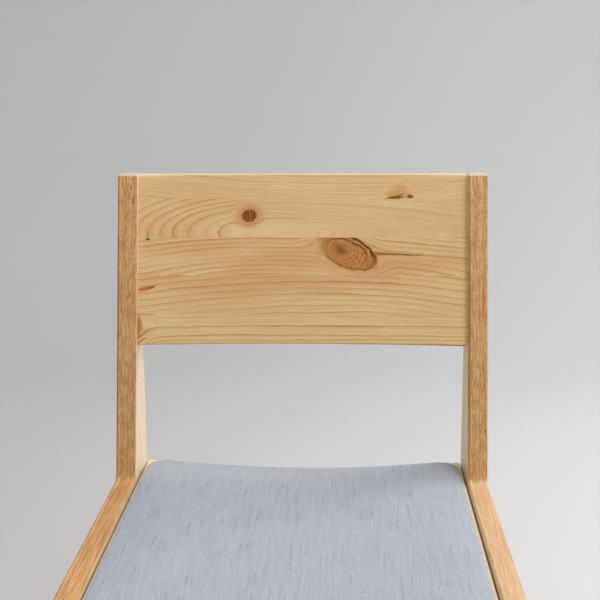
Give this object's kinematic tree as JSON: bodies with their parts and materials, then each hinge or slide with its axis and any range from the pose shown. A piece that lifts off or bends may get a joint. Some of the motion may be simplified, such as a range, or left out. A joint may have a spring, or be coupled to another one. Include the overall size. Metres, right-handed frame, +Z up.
{
  "type": "dining chair",
  "caption": "Dining chair with plywood side panels, a hollowed backrest glued from pine staves, and a thin upholstered pad on a curved plywood seat.",
  "frame": {"origin": "on the floor, under the middle of the chair's outline", "axes": "+Z up; the sitter looks towards -Y; +X is on the right of someone who faces the chair"},
  "size_m": [0.45, 0.4997, 0.8015],
  "materials": {
    "plywood": "clear matt lacquer over veneer faces and bare ply edges",
    "pine": "clear matt lacquer",
    "beech": "bare, glued in",
    "seat_ply": "clear matt lacquer over pale veneer",
    "seat_fabric": "woven, matt, light blue-grey with slubs that run front to back",
    "foam": "open-cell upholstery foam",
    "zinc_steel": "bright zinc plate",
    "glide_plastic": "moulded, off-white"
  },
  "bodies": {
    "root": {"side_panel_left": "plywood", "side_panel_right": "plywood", "backrest_stave_1": "pine", "backrest_stave_2": "pine", "backrest_stave_3": "pine", "backrest_stave_4": "pine", "backrest_stave_5": "pine", "backrest_dowels_left": "beech", "backrest_dowels_right": "beech", "front_cross_rail": "plywood", "rear_cross_rail": "plywood", "front_rail_dowels_left": "beech", "front_rail_dowels_right": "beech", "rear_rail_dowels_left": "beech", "rear_rail_dowels_right": "beech", "seat_cleat_left": "pine", "seat_cleat_right": "pine", "cleat_screws_left": "zinc_steel", "cleat_screws_right": "zinc_steel", "seat_board": "seat_ply", "seat_board_screws": "zinc_steel", "pad_base_board": "seat_ply", "pad_foam": "foam", "pad_cover": "seat_fabric", "pad_staples": "zinc_steel", "pad_tee_nuts": "zinc_steel", "pad_bolts": "zinc_steel", "floor_glide_front_left": "glide_plastic", "floor_glide_front_right": "glide_plastic", "floor_glide_rear_left": "glide_plastic", "floor_glide_rear_right": "glide_plastic", "glide_nails": "zinc_steel"}
  },
  "joints": []
}
